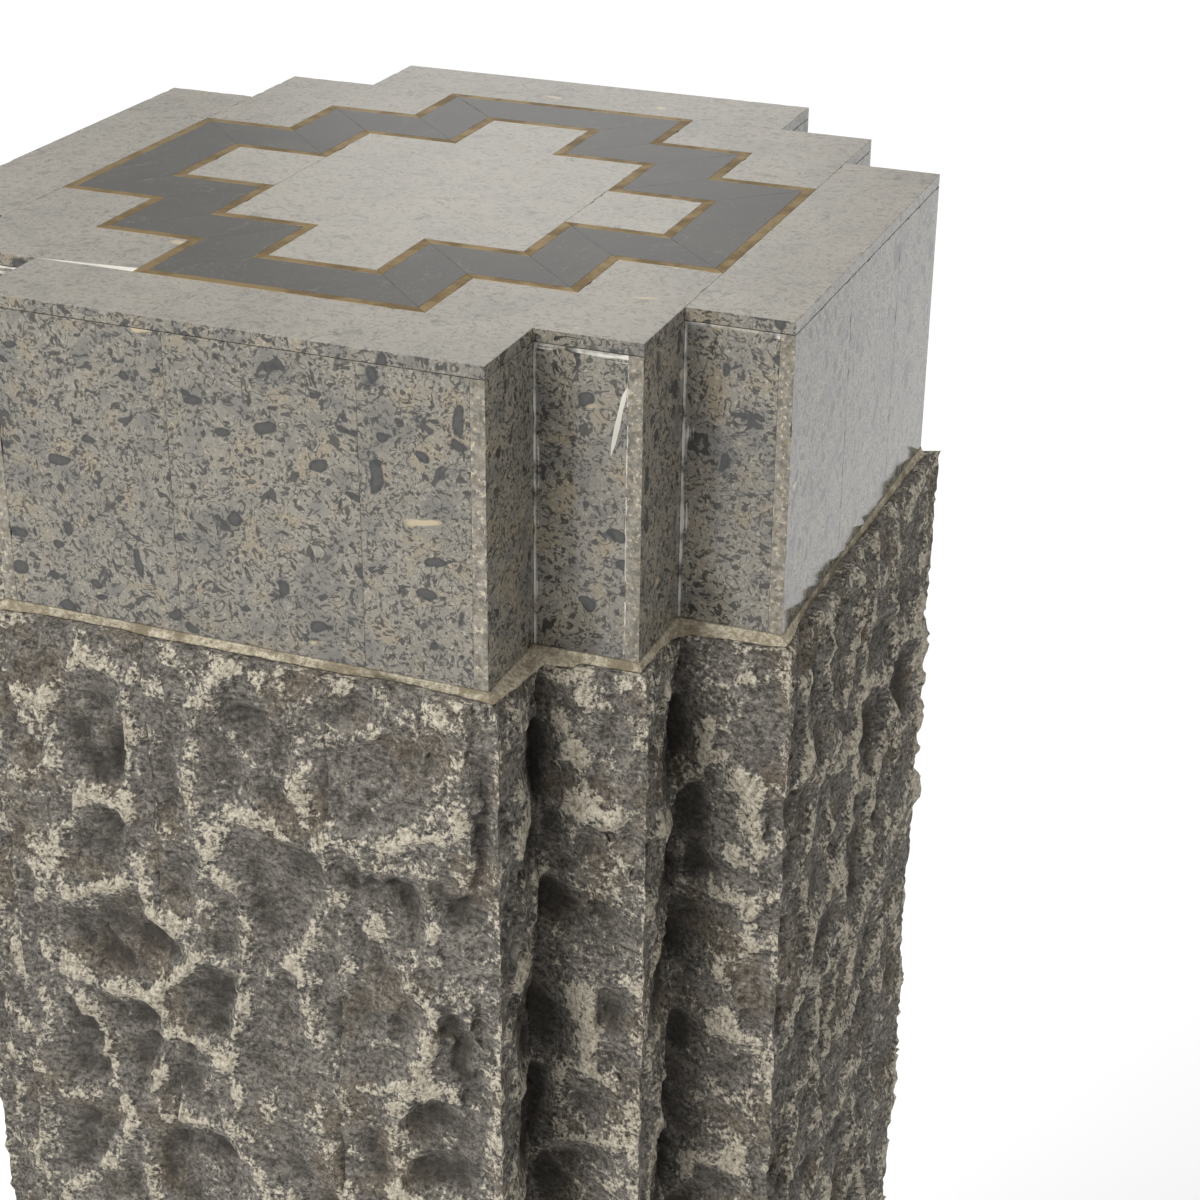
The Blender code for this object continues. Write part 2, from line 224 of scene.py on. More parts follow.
def sawn_limestone(name):
    """The tiles' sawn edges: the same stone rubbed down but not polished.

    The eye gets matt grey grains, with yellow rust and cream filler in blots of 2 to 3 mm.
    """
    made, tree, shader = new_material(name)
    place = own_place(tree)
    coarse = {"Vector": place, "Scale": 1000 / 2.0, "Detail": 4.0, "Roughness": 0.7}
    grains = add_node(tree, "TexNoise", coarse).outputs["Fac"]
    tone = add_node(tree, "MapRange", {"Value": grains, "From Min": 0.38, "From Max": 0.62}).outputs[0]
    ground = {0: tone, 6: linear("#56524a"), 7: linear("#8a8478")}
    colour = add_node(tree, "Mix", ground, data_type="RGBA").outputs[2]
    for size, low, shade, share in ((3.0, 0.53, "#7d6e52", 0.45), (1.6, 0.54, "#bdb29a", 0.75)):
        blotted = {"Vector": place, "Scale": 1000 / size, "Detail": 4.0, "Roughness": 0.65}
        blot = add_node(tree, "TexNoise", blotted).outputs["Fac"]
        fade = {"Value": blot, "From Min": low, "From Max": low + 0.12, "To Max": share}
        shown = add_node(tree, "MapRange", fade, interpolation_type="SMOOTHSTEP").outputs[0]
        colour = add_node(tree, "Mix", {0: shown, 6: colour, 7: linear(shade)}, data_type="RGBA").outputs[2]
    tree.links.new(colour, shader.inputs["Base Color"])
    shader.inputs["Roughness"].default_value = 0.45
    bump = add_node(tree, "Bump", {"Height": grains, "Strength": 0.2, "Distance": 0.0003})
    tree.links.new(bump.outputs[0], shader.inputs["Normal"])
    return made


def joint_filler(name, dirty, clean):
    """The filler that was wiped into the joints: cream cement, matt, gone brown where dirt got in."""
    made, tree, shader = new_material(name)
    place = add_node(tree, "TexCoord").outputs["Object"]
    dirt = add_node(tree, "TexNoise", {"Vector": place, "Scale": 1000 / 11, "Detail": 5.0}).outputs["Fac"]
    colour = add_node(tree, "Mix", {0: dirt, 6: linear(dirty), 7: linear(clean)}, data_type="RGBA")
    tree.links.new(colour.outputs[2], shader.inputs["Base Color"])
    shader.inputs["Roughness"].default_value = 0.9
    return made


def add_piece(name, verts, faces, finishes, stands_for=None):
    """Adds a piece of the pedestal from its mesh and its finishes, standing for a node if one is given."""
    mesh = bpy.data.meshes.new(name)
    mesh.from_pydata(verts, [], faces)
    for finish in finishes:
        mesh.materials.append(finish)
    made = bpy.data.objects.new(name, mesh)
    bpy.context.scene.collection.objects.link(made)
    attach(made, "root")
    if stands_for:
        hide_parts(stands_for)
    return made


def rings(count, levels):
    """The four-sided faces between outlines of so many points, each below the one before."""
    faces = []
    for level in range(levels):
        for i in range(count):
            after = (i + 1) % count
            a, b = level * count, (level + 1) * count
            faces.append((a + i, b + i, b + after, a + after))
    return faces


def chance(column, row, seed):
    """A repeatable number from 0 to 1 for each whole column and row."""
    mixed = np.sin(column * 127.1 + row * 311.7 + seed * 74.7) * 43758.5453
    return mixed - np.floor(mixed)


def turned(point, quarter):
    """A plan point turned about the middle by so many quarter turns."""
    x, y = point
    for _ in range(quarter):
        x, y = -y, x
    return x, y


def stepped(half):
    """The plan's twenty corners, anticlockwise from the right face's far end."""
    middle, short = half - NOTCH_STEP, half - 2 * NOTCH_STEP
    corner = [(half, short), (middle, short), (middle, middle), (short, middle), (short, half)]
    return [turned(point, quarter) for quarter in range(4) for point in corner]


def straightened(points):
    """The same outline without points that lie on a straight side."""
    kept = []
    for i, (x, y) in enumerate(points):
        (x0, y0), (x1, y1) = points[i - 1], points[(i + 1) % len(points)]
        if abs((x - x0) * (y1 - y) - (y - y0) * (x1 - x)) > 1e-9:
            kept.append((x, y))
    return kept


def worn_tile(name, outline, origin, across, up, thickness, wear, nick, seed, finishes, node,
              distances=None):
    """A tile whose front arris is eased by a varying width, with small nicks.

    The outline is anticlockwise on the tile's front, in the directions across and up from the origin.
    The finishes are those of the front and of the edges. The distances give how far a point is from an
    inner corner and from the top, for the residue there.
    """
    origin, across, up = Vector(origin), Vector(across), Vector(up)
    out = across.cross(up)
    outline = straightened(outline)
    count = len(outline)
    rim, inward = [], []
    for i in range(count):
        a, b, before = Vector(outline[i]), Vector(outline[(i + 1) % count]), Vector(outline[i - 1])
        along, arriving = (b - a).normalized(), (a - before).normalized()
        side = Vector((-along.y, along.x))
        last_side = Vector((-arriving.y, arriving.x))
        rim.append(a)
        inward.append((side + last_side) / (1 + side.dot(last_side)))
        pieces = max(1, round((b - a).length / OUTLINE_SPACING))
        for piece in range(1, pieces):
            rim.append(a.lerp(b, piece / pieces))
            inward.append(side)
    total = len(rim)
    verts, away = [], []
    for level in range(3):
        for i, (point, side) in enumerate(zip(rim, inward)):
            nicked = chance(i, seed, 2) > 1 - NICKED_SHARE
            ease = wear * (0.6 + 0.8 * chance(i, seed, 1)) + nick * nicked
            deep = (0.0, -ease, -thickness)[level]
            flat = point + side * ease if level == 0 else point
            verts.append(tuple(origin + across * flat.x + up * flat.y + out * deep))
            away.append(distances(flat.x, flat.y) if distances else (FAR, FAR))
    faces = [tuple(range(total)), tuple(reversed(range(2 * total, 3 * total)))] + rings(total, 2)
    made = add_piece(name, verts, faces, finishes, node)
    for attribute, values in zip(("from_corner", "from_top"), zip(*away)):
        made.data.attributes.new(attribute, "FLOAT", "POINT").data.foreach_set("value", values)
    for face in made.data.polygons:
        face.material_index = 1 if face.index >= 2 + total else 0


def plain_block(name, outline, bottom, top, finish, node):
    """A closed block between two heights, from an anticlockwise outline."""
    count = len(outline)
    verts = [(x, y, z) for z in (bottom, top) for x, y in outline]
    faces = [tuple(reversed(range(count))), tuple(range(count, 2 * count))]
    faces += [(i, (i + 1) % count, count + (i + 1) % count, count + i) for i in range(count)]
    add_piece(name, verts, faces, [finish], node)


SHELL_LIMESTONE = polished_limestone("polished shell limestone", 0.0, 1.0)
RUSTY_EDGE = sawn_limestone("sawn limestone, rusty")
FILLER = joint_filler("joint filler", "#6b6456", "#979080")


def clad_block(block, bottom, top):
    """Faces one block with its side tiles. Tiles facing +X or -X run through to the outer corners."""
    ground = stepped(CAP_HALF - SIDE_TILE + JOINT)
    plain_block(f"{block}_ground", ground, bottom, top, FILLER, block)
    corners = stepped(CAP_HALF)
    outer = [True, False, True, False, True] * 4
    height = top - bottom
    for i, corner in enumerate(corners):
        start, end = Vector((*corners[i - 1], bottom)), Vector((*corner, bottom))
        length = (end - start).length
        across = (end - start) / length
        runs_through = abs(across.y) > 0.5
        ends = []
        for is_outer in (outer[i - 1], outer[i]):
            if runs_through:
                ends.append(0.0 if is_outer else -SIDE_TILE)
            else:
                ends.append(SIDE_TILE + JOINT if is_outer else JOINT)
        main = i % 5 == 0
        joints = [share * length for share in TILE_JOINTS[SIDES[i // 5]]] if main else []
        marks = [ends[0]] + [j for joint in joints for j in (joint - JOINT / 2, joint + JOINT / 2)]
        marks.append(length - ends[1])

        def distances(x, y, low=marks[0], high=marks[-1], falls=outer[i - 1], clean=runs_through):
            """How far a point is from the face's inner corner, and from its top if that has residue."""
            return (high - x if falls else x - low), (FAR if clean else height - y)

        for tile in range(len(marks) // 2):
            left, right = marks[2 * tile], marks[2 * tile + 1]
            outline = [(left, 0), (right, 0), (right, height), (left, height)]
            label = f"{SIDES[i // 5]}_{tile + 1}" if main else f"notch_{i // 5 + 1}_{i % 5}"
            worn_tile(f"{block}_tile_{label}", outline, start, across, (0, 0, 1), SIDE_TILE, SIDE_WEAR,
                      SIDE_NICK, i * 3 + tile + bottom * 100, (SHELL_LIMESTONE, RUSTY_EDGE),
                      block, None if main else distances)


clad_block("plinth", plinth_low.z, plinth_high.z)


# Mortar beds: soft cream mortar squeezed out between the polished blocks and the shaft and left as it set,
# lumpy and broken, with a gap here and there. It was spread by hand and never pointed.
BED_SPACING = 0.0022
BED_LIP = 0.0064
# Share of the lip that an outer corner keeps
BED_CORNER = 0.4


def smooth_noise(x, y, seed):
    """Smooth noise from 0 to 1 over a grid of unit cells."""
    column, row = np.floor(x), np.floor(y)
    u, v = x - column, y - row
    u, v = u * u * (3 - 2 * u), v * v * (3 - 2 * v)
    low = chance(column, row, seed) * (1 - u) + chance(column + 1, row, seed) * u
    high = chance(column, row + 1, seed) * (1 - u) + chance(column + 1, row + 1, seed) * u
    return low * (1 - v) + high * v


def layered_noise(x, y, seed, layers):
    """Smooth noise with finer layers, each half as strong and half as wide."""
    total, strength = 0.0, 0.5
    for layer in range(layers):
        total = total + strength * smooth_noise(x * 2 ** layer, y * 2 ** layer, seed + layer)
        strength /= 2
    return total


def mortar(name):
    """Lime mortar, cream and sandy with brown stains: matt, with grains about a millimetre wide."""
    made, tree, shader = new_material(name)
    place = add_node(tree, "TexCoord").outputs["Object"]
    stained = {"Vector": place, "Scale": 1000 / 11, "Detail": 6.0, "Roughness": 0.7}
    stains = add_node(tree, "TexNoise", stained).outputs["Fac"]
    grainy = {"Vector": place, "Scale": 1000 / 1.4, "Detail": 4.0, "Roughness": 0.7}
    sand = add_node(tree, "TexNoise", grainy).outputs["Fac"]
    fade = {"Value": stains, "From Min": 0.41, "From Max": 0.55}
    clean = add_node(tree, "MapRange", fade, interpolation_type="SMOOTHSTEP").outputs[0]
    cream = {0: clean, 6: linear("#807560"), 7: linear("#ddd3bc")}
    colour = add_node(tree, "Mix", cream, data_type="RGBA").outputs[2]
    sandy = add_node(tree, "MapRange", {"Value": sand, "From Min": 0.35, "From Max": 0.7}).outputs[0]
    colour = add_node(tree, "Mix", {0: sandy, 6: linear("#8b8069"), 7: colour}, data_type="RGBA").outputs[2]
    tree.links.new(colour, shader.inputs["Base Color"])
    shader.inputs["Roughness"].default_value = 0.95
    bump = add_node(tree, "Bump", {"Height": sand, "Strength": 1.0, "Distance": 0.0016})
    tree.links.new(bump.outputs[0], shader.inputs["Normal"])
    return made


MORTAR = mortar("lime mortar")


def add_bed(node, seed):
    """A bed whose edge bulges and breaks, as a stack of wandering outlines round the plan."""
    low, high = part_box(node)
    corners = [Vector(corner) for corner in stepped(CAP_HALF)]
    mitres = []
    for i, corner in enumerate(corners):
        along = (corners[(i + 1) % len(corners)] - corner).normalized()
        arriving = (corner - corners[i - 1]).normalized()
        # The mortar is rounded off at an outer corner
        rounding = BED_CORNER if arriving.cross(along) > 0 else 1.0
        mitres.append((Vector((along.y, -along.x)) + Vector((arriving.y, -arriving.x))) * rounding)
    places, travelled = [], []
    distance = 0.0
    for i, corner in enumerate(corners):
        length = (corners[(i + 1) % len(corners)] - corner).length
        pieces = round(length / BED_SPACING)
        for piece in range(pieces):
            places.append((i, piece / pieces))
            travelled.append(distance + length * piece / pieces)
        distance += length
    travelled = np.array(travelled)
    bulge = layered_noise(travelled / 0.034, travelled * 0, seed, 4)
    lumps = layered_noise(travelled / 0.0055, travelled * 0, seed + 9, 2)
    # The mortar stands out less in the middle of a main face
    calm = [min(share, 1 - share) * 8 if i % 5 == 4 else 0 for i, share in places]
    lip = BED_LIP * np.clip(np.where(bulge < 0.26, 8, 2.5) * (bulge - 0.26), -0.5, 1) + 0.0026 * (lumps - 0.4)
    lip = lip * (1 - 0.50 * np.clip(calm, 0, 1))
    # Each outline: share of the lip, and share of the height down from the top
    profile = ((-0.8, 0.0), (0.06, 0.0), (0.12, 0.20), (0.30, 0.50), (0.60, 0.72), (0.93, 0.88), (1.0, 1.0),
               (-0.8, 1.0))
    verts = []
    for level, (reach, down) in enumerate(profile):
        z = high.z - (high.z - low.z) * down
        torn = 0.0016 * (layered_noise(travelled / 0.004, travelled * 0 + level * 0.7, seed + 20, 2) - 0.38)
        for (i, share), size in zip(places, lip + torn):
            step = float(size) * reach if reach > 0 else BED_LIP * reach
            after = (i + 1) % len(corners)
            spot = (corners[i] + mitres[i] * step).lerp(corners[after] + mitres[after] * step, share)
            verts.append((spot.x, spot.y, z))
    total = len(places)
    faces = [tuple(range(total)), tuple(reversed(range(len(verts) - total, len(verts))))]
    faces += rings(total, len(profile) - 1)
    made = add_piece(node + "_squeezed", verts, faces, [MORTAR], node)
    for face in made.data.polygons:
        face.use_smooth = face.index > 1


add_bed("mortar_bed_lower", 51)


# Shaft: split-face limestone slabs, three strips to a side and one on each face of the notches, mitred at the
# corners. Each face was split and chipped by hand into hollows that meet in ridges; a cream crust of the
# stone's old bed is left on the ridges, and the fresh hollows are grey-brown, darkened with painted shade
# where they sink below the ridges.
SHAFT_PROUD = 0.011
SLAB_THICKNESS = 0.028
STRIPS_PER_SIDE = 3
SCOOP_SIZE = 0.034
SCOOP_STRETCH = 1.3
SCOOP_DEPTH = 0.0058
BROAD_SIZE = 0.085
BROAD_DEPTH = 0.0036
WANDER = 0.0055
VALLEY_DEPTH = 0.0070
VALLEY_WIDTH = 0.012
ARRIS_DEPTH = 0.0060
ARRIS_WIDTH = 0.010
LEDGE_DEPTH = 0.0036
LEDGE_SPACING = 0.120
LEDGE_MATCH = 0.010
TOP_DEPTH = 0.0060
TOP_EASE = 0.035
FINE_SPACING = 0.0019
END_CLEARANCE = 0.00004
# How far round a point its average is taken, in cells, and the height over it that counts as a full ridge
RAISED_CELLS = 7
RAISED_DEPTH = 0.0062


def scoops(across, up, size, seed):
    """Rounded hollows that meet in ridges: 0 on a ridge, up to 1 at the bottom of a hollow."""
    x, y = across / size, up / (size * SCOOP_STRETCH)
    column, row = np.floor(x), np.floor(y)
    nearest = np.full(np.shape(x), FAR)
    second = np.full(np.shape(x), FAR)
    depth = np.zeros(np.shape(x))
    for side in (-1, 0, 1):
        for rise in (-1, 0, 1):
            c, r = column + side, row + rise
            dx = c + 0.1 + 0.8 * chance(c, r, seed) - x
            dy = r + 0.1 + 0.8 * chance(c, r, seed + 1) - y
            distance = np.hypot(dx, dy)
            closer = distance < nearest
            second = np.where(closer, nearest, np.minimum(second, distance))
            depth = np.where(closer, 0.35 + 0.65 * chance(c, r, seed + 2), depth)
            nearest = np.where(closer, distance, nearest)
    inside = 1 - (nearest / second) ** 2
    return depth * inside * inside * (3 - 2 * inside)


def bent(across, up):
    """The place moved about by some millimetres, so that no hollow is regular."""
    bent_across = across + WANDER * np.sin(1.8 * up / SCOOP_SIZE + 2.1 * np.sin(1.25 * across / SCOOP_SIZE))
    bent_up = up + WANDER * np.sin(2.0 * across / SCOOP_SIZE + 1.7 * np.sin(1.1 * up / SCOOP_SIZE))
    return bent_across, bent_up


def ledges(up, slab):
    """Depth of a slab's ledges, from 0 to 1, with a short slope from each to the next."""
    place = up / LEDGE_SPACING + chance(slab, 0, 116)
    row = np.floor(place)
    slope = np.clip((place - row) / 0.07, 0, 1)
    below, here = chance(slab, row - 1, 245), chance(slab, row, 245)
    return below + (here - below) * slope


def relief(across, up, ledge, to_inner, to_outer, to_top):
    """How far the stone is split back behind the highest ridges, in metres."""
    x, y = bent(across, up)
    hollows = SCOOP_DEPTH * scoops(x, y, SCOOP_SIZE, 11) + BROAD_DEPTH * scoops(x, y, BROAD_SIZE, 31)
    valley = VALLEY_DEPTH * np.exp(-(to_inner / VALLEY_WIDTH) ** 2)
    split = hollows + valley + LEDGE_DEPTH * ledge
    eased = 0.4 + 0.6 * np.clip(to_top / TOP_EASE, 0, 1)
    depth = TOP_DEPTH + (split - TOP_DEPTH) * eased
    arris = np.exp(-(to_outer / ARRIS_WIDTH) ** 2)
    return depth + (ARRIS_DEPTH - depth) * arris


def fine_relief(across, up, slab, to_outer, to_top):
    """The chipping on the large hollows and ridges, in metres."""
    x, y = bent(across, up)
    ragged_x = 0.012 * (layered_noise(across / 0.013, up / 0.013, 61, 4) - 0.44)
    ragged_y = 0.012 * (layered_noise(across / 0.013, up / 0.013, 71, 4) - 0.44)
    small = scoops(x + ragged_y, y + ragged_x, 0.017, 41)
    chips = scoops(x + ragged_x, y + ragged_y, 0.0080, 91)
    # Beds of the stone, about 5 mm apart, torn into little steps that dip one way and another
    bed = (up + 0.25 * across + 1.4 * ragged_x + 0.8 * ragged_y) / 0.0052
    steps = bed - np.floor(bed)
    grit = layered_noise(across / 0.0034, up / 0.0034, 101, 3)
    # The arris at an outer corner is chipped here and there, and the rest of it is nearly straight
    arris = np.exp(-(to_outer / 0.0020) ** 2)
    chipped = 0.0024 * arris * layered_noise(up / 0.012, up * 0 + slab, 111, 3) ** 2
    rim = np.exp(-(to_top / 0.0030) ** 2) * 0.0050 * layered_noise(across / 0.010, across * 0, 121, 3) ** 2
    torn = 0.0030 * small + 0.0014 * chips + 0.0008 * steps + 0.0014 * (grit - 0.44)
    return torn * (1 - 0.6 * arris) + chipped + rim - 0.0014


def raised(depth, cells):
    """How far each point stands out from the average within so many cells, in metres."""
    wide = 2 * cells + 1
    sums = np.pad(depth, cells, mode="edge").cumsum(axis=0).cumsum(axis=1)
    sums = np.pad(sums, ((1, 0), (1, 0)))
    boxes = sums[wide:, wide:] - sums[:-wide, wide:] - sums[wide:, :-wide] + sums[:-wide, :-wide]
    return boxes / wide ** 2 - depth


def split_limestone(name):
    """Split limestone, matt and gritty.

    The eye gets grey-brown hollows speckled dark and light and streaked where it split, a broken cream
    crust along the ridges, brown stains, and grit about half a millimetre wide.
    """
    made, tree, shader = new_material(name)
    place = own_place(tree)
    raised_parts = add_node(tree, "Attribute", attribute_name="raised").outputs["Fac"]
    ragged = {"Vector": place, "Scale": 1000 / 9, "Detail": 3.0, "Roughness": 0.65}
    blots = add_node(tree, "TexNoise", ragged).outputs["Fac"]
    gritty = {"Vector": place, "Scale": 1000 / 1.7, "Detail": 4.0, "Roughness": 0.8}
    grains = add_node(tree, "TexNoise", gritty).outputs["Fac"]
    patches = add_node(tree, "TexNoise", {"Vector": place, "Scale": 1000 / 24, "Detail": 2.0}).outputs["Fac"]
    flat = add_node(tree, "VectorMath", {0: place, 1: (0.3, 0.3, 1.0)}, operation="MULTIPLY").outputs[0]
    drawn = {"Vector": flat, "Scale": 1000 / 2.6, "Detail": 4.0, "Roughness": 0.7, "Distortion": 1.2}
    streaks = add_node(tree, "TexNoise", drawn).outputs["Fac"]
    fade = {"Value": streaks, "From Min": 0.34, "From Max": 0.66}
    streaked = add_node(tree, "MapRange", fade, interpolation_type="SMOOTHSTEP").outputs[0]
    ground = {0: streaked, 6: linear("#5b5750"), 7: linear("#8b857c")}
    colour = add_node(tree, "Mix", ground, data_type="RGBA").outputs[2]

    # Brown stains, dark grains, pale grains, and painted shade in the hollows:
    # where each starts and is full, strength
    tones = ((patches, 0.50, 0.66, 0.50, "SMOOTHSTEP", "#71624c"),
             (grains, 0.50, 0.38, 0.90, "LINEAR", "#2d2b28"),
             (grains, 0.54, 0.66, 0.80, "LINEAR", "#b0a898"),
             # Painted shade: the last tone darkens where the face sinks below the average around it
             (raised_parts, 0.46, 0.16, 0.82, "LINEAR", "#332e28"))
    for pattern, start, full, strength, easing, tone in tones:
        fade = {"Value": pattern, "From Min": start, "From Max": full, "To Max": strength}
        shown = add_node(tree, "MapRange", fade, interpolation_type=easing).outputs[0]
        colour = add_node(tree, "Mix", {0: shown, 6: colour, 7: linear(tone)}, data_type="RGBA").outputs[2]

    # The crust of the old bed: on ridges, broken into blots about 9 mm wide and eaten by the grain
    fade = {"Value": blots, "From Min": 0.34, "From Max": 0.66, "To Min": -0.26, "To Max": 0.26}
    kept = add_node(tree, "MapRange", fade).outputs[0]
    fade = {"Value": grains, "From Min": 0.3, "From Max": 0.7, "To Min": -0.28, "To Max": 0.28}
    eaten = add_node(tree, "MapRange", fade).outputs[0]
    cover = add_node(tree, "Math", {0: raised_parts, 1: kept}, operation="ADD").outputs[0]
    cover = add_node(tree, "Math", {0: cover, 1: eaten}, operation="ADD").outputs[0]
    fade = {"Value": cover, "From Min": 0.66, "From Max": 0.86, "To Max": 0.92}
    cover = add_node(tree, "MapRange", fade, interpolation_type="SMOOTHSTEP").outputs[0]
    clean = add_node(tree, "MapRange", {"Value": grains, "From Min": 0.38, "From Max": 0.60}).outputs[0]
    cream = {0: clean, 6: linear("#837967"), 7: linear("#ddd4c0")}
    crust = add_node(tree, "Mix", cream, data_type="RGBA").outputs[2]
    colour = add_node(tree, "Mix", {0: cover, 6: colour, 7: crust}, data_type="RGBA").outputs[2]
    tree.links.new(colour, shader.inputs["Base Color"])
    shader.inputs["Roughness"].default_value = 0.88
    height = add_node(tree, "Math", {0: grains, 1: streaks}, operation="ADD").outputs[0]
    bump = add_node(tree, "Bump", {"Height": height, "Strength": 1.0, "Distance": 0.0019})
    tree.links.new(bump.outputs[0], shader.inputs["Normal"])
    return made


SPLIT_LIMESTONE = split_limestone("split-face limestone")


def add_slab(node, start, end, kind0, kind1, round_plan, slab):
    """A slab with its split face; an end kind is 1 outside, -1 inside and 0 at a straight joint."""
    low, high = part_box(node)
    start, end = np.array(start), np.array(end)
    length = np.linalg.norm(end - start)
    along = (end - start) / length
    outwards = np.array((along[1], -along[0]))
    columns = round(length / FINE_SPACING)
    rows = round((high.z - low.z) / FINE_SPACING)
    shares, up = np.meshgrid(np.linspace(0, 1, columns + 1), np.linspace(low.z, high.z, rows + 1))
    across = shares * length
    from_start, from_end, to_top = across, length - across, high.z - up
    to_inner = np.minimum(from_start + FAR * (kind0 >= 0), from_end + FAR * (kind1 >= 0))
    to_outer = np.minimum(from_start + FAR * (kind0 <= 0), from_end + FAR * (kind1 <= 0))
    # At a straight joint the two neighbours were dressed to meet
    ledge = ledges(up, slab)
    for distance, kind, neighbour in ((from_start, kind0, slab - 1), (from_end, kind1, slab + 1)):
        if kind == 0:
            near = 0.5 * np.exp(-(distance / LEDGE_MATCH) ** 2)
            ledge = ledge * (1 - near) + ledges(up, neighbour) * near
    broad = relief(round_plan + across, up, ledge, to_inner, to_outer, to_top)
    fine = fine_relief(round_plan + across, up, slab, to_outer, to_top)
    depth = np.maximum(broad + fine, 0.0002)
    # How far each point stands out: the crust goes on the ridges, painted shade into the hollows
    standing_out = 0.5 + raised(broad + 0.6 * fine, RAISED_CELLS) / RAISED_DEPTH
    standing_out += 0.16 * np.exp(-(to_outer / 0.0024) ** 2) + 0.20 * np.exp(-(to_top / 0.0050) ** 2)

    def points(share, deep, z):
        """Points by their share of the slab's length, depth behind the plan's outline and height."""
        first = kind0 * deep + END_CLEARANCE
        last = length - kind1 * deep - END_CLEARANCE
        reach = first + (last - first) * share
        flat = start + along * reach[..., None] - outwards * deep[..., None]
        flat = np.clip(flat, (cad_low.x, cad_low.y), (cad_high.x, cad_high.y))
        return np.concatenate([flat, z[..., None]], axis=-1).reshape(-1, 3)

    front = points(shares, depth, up)
    back_share = np.array((0.0, 1.0, 1.0, 0.0))
    back_up = np.array((low.z, low.z, high.z, high.z))
    verts = np.concatenate([front, points(back_share, np.full(4, SLAB_THICKNESS), back_up)])
    back, wide = len(front), columns + 1
    corner = (np.arange(rows)[:, None] * wide + np.arange(columns)).reshape(-1)
    quads = np.stack([corner, corner + 1, corner + wide + 1, corner + wide], axis=1)
    bottom_row = list(range(wide))
    top_row = [rows * wide + column for column in range(wide)]
    first_column = [row * wide for row in range(rows + 1)]
    last_column = [row * wide + columns for row in range(rows + 1)]
    faces = quads.tolist()
    faces.append([back + 1, *reversed(bottom_row), back])
    faces.append([*top_row, back + 2, back + 3])
    faces.append([*first_column, back + 3, back])
    faces.append([*reversed(last_column), back + 1, back + 2])
    faces.append([back, back + 3, back + 2, back + 1])
    made = add_piece(node + "_split", verts.tolist(), faces, [SPLIT_LIMESTONE], node)
    made.data.polygons.foreach_set("use_smooth", [True] * len(quads) + [False] * 5)
    made.data.set_sharp_from_angle(angle=math.radians(70))
    values = np.concatenate([np.clip(standing_out, 0, 1).reshape(-1), np.zeros(4)])
    made.data.attributes.new("raised", "FLOAT", "POINT").data.foreach_set("value", values)


def add_shaft():
    """All the slabs in order round the plan.

    The distance round starts again at the left side, so that the splits run on round the other corners.
    """
    corners = stepped(CAP_HALF + SHAFT_PROUD)
    kinds = [1, -1, 1, -1, 1] * 4
    round_plan, slab = 0.0, 0
    for i in range(len(corners)):
        if i == 5 * SIDES.index("left"):
            # The way round the steps is as long as the way round a plain square
            round_plan -= 8 * (CAP_HALF + SHAFT_PROUD)
        start, end = Vector(corners[i - 1]), Vector(corners[i])
        length = (end - start).length
        strips = 1 if i % 5 else STRIPS_PER_SIDE
        for strip in range(strips):
            place = f"{SIDES[i // 5]}_{strip + 1}" if strips > 1 else f"corner_{i // 5 + 1}_{i % 5}"
            kind0 = kinds[i - 1] if strip == 0 else 0
            kind1 = kinds[i] if strip == strips - 1 else 0
            share0, share1 = strip / strips, (strip + 1) / strips
            add_slab("shaft_slab_" + place, start.lerp(end, share0), start.lerp(end, share1), kind0, kind1,
                     round_plan + length * share0, slab)
            slab += 1
        round_plan += length


add_shaft()


# Cap: a light block with two steps at each corner, faced with the same tiles of polished shell limestone as
# the plinth, glued on with tight butt joints, and set on the shaft in a bed of the same mortar.
add_bed("mortar_bed_upper", 158)
clad_block("cap_block", block_low.z, block_high.z)


# Top tiles: four straight border tiles, four L-shaped corner tiles and the stepped field in three pieces.
# They are the same polished limestone as the sides, laid flush and ground level with the inlay, and drawn
# lighter and less bold: the stone's own pattern under painted sheen of the polished top at a grazing angle.
border_low, border_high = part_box("top_border_right")
band_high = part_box("dark_band_right")[1]
strip_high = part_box("brass_strip_outer")[1]
TOP, TILE_BOTTOM = border_high.z, border_low.z
TILE_THICKNESS = TOP - TILE_BOTTOM
OUT = strip_high.x + GAP / 2
BRASS_WIDTH = OUT - band_high.x - GAP / 2
INNER = arm_high.x + GAP / 2
TOP_WEAR = 0.00012
TOP_NICK = 0.0004
WEDGE_WIDTH = 0.0034
# Lighter, less bold copies of the side stone: painted sheen of the grazing top over its own pattern
CALM_SHEENED_LIMESTONE = polished_limestone("polished shell limestone, calm", 0.24, 0.30)
PALE_SHEENED_LIMESTONE = polished_limestone("polished shell limestone, pale", 0.40, 0.24)
BORDER_FINISHES = (CALM_SHEENED_LIMESTONE, SHELL_LIMESTONE)
FIELD_FINISHES = (PALE_SHEENED_LIMESTONE, SHELL_LIMESTONE)


def inset(points, distance):
    """An anticlockwise outline with every side moved inwards by the distance."""
    points = [Vector(p) for p in straightened(points)]
    moved = []
    for i, point in enumerate(points):
        before, after = points[i - 1], points[(i + 1) % len(points)]
        arriving, along = (point - before).normalized(), (after - point).normalized()
        side, last_side = Vector((-along.y, along.x)), Vector((-arriving.y, arriving.x))
        shifted = point + (side + last_side) / (1 + side.dot(last_side)) * distance
        moved.append(tuple(shifted))
    return moved


def top_tile(name, outline, node, finishes, seed, wear=TOP_WEAR, nick=TOP_NICK, joint=JOINT):
    """A tile of the top, standing for its node."""
    worn_tile(name, inset(outline, joint / 2), (0, 0, TOP), (1, 0, 0), (0, 1, 0), TILE_THICKNESS, wear,
              nick, seed, finishes, node)


